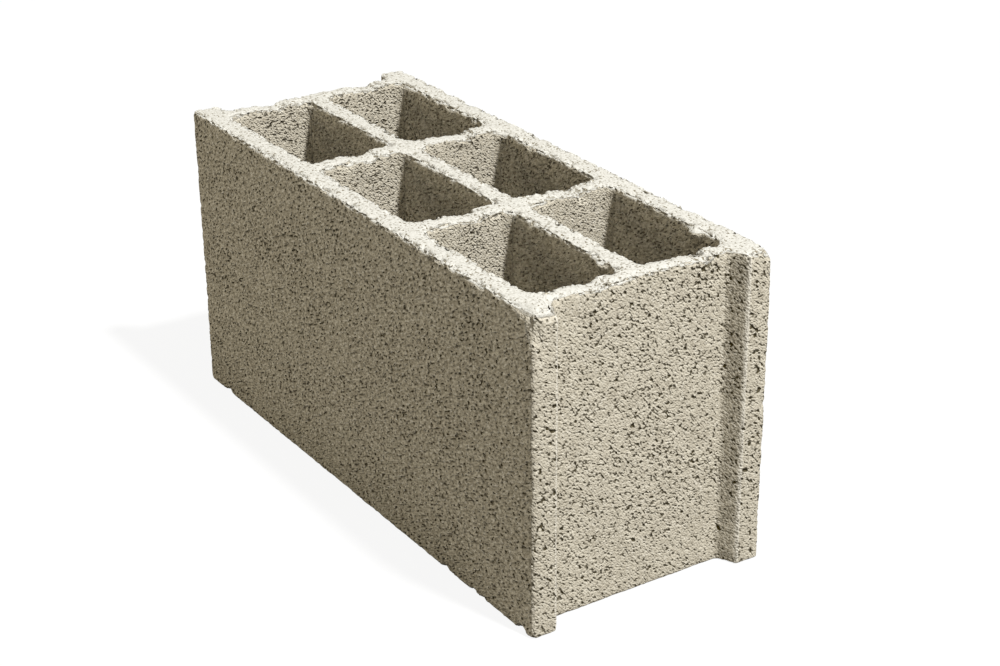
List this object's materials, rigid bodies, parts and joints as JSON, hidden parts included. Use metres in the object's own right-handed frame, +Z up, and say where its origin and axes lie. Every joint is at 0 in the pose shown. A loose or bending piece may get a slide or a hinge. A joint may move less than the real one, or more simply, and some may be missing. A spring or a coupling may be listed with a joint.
{
  "type": "hollow concrete block",
  "caption": "Rectangular hollow concrete building block with deep open cells, a closed bed face, a mortar pocket in each end between corner flanges, and worn, ragged rims.",
  "frame": {"origin": "centre of the closed bed face, on the floor", "axes": "+X along the length, towards the end in view; +Y across, away from the long face in view; +Z up, the way the cells open"},
  "size_m": [0.5, 0.2, 0.245],
  "materials": {
    "concrete": "rough, open-pored cast concrete, matt"
  },
  "bodies": {
    "root": {"hollow_block": "concrete"}
  },
  "joints": []
}
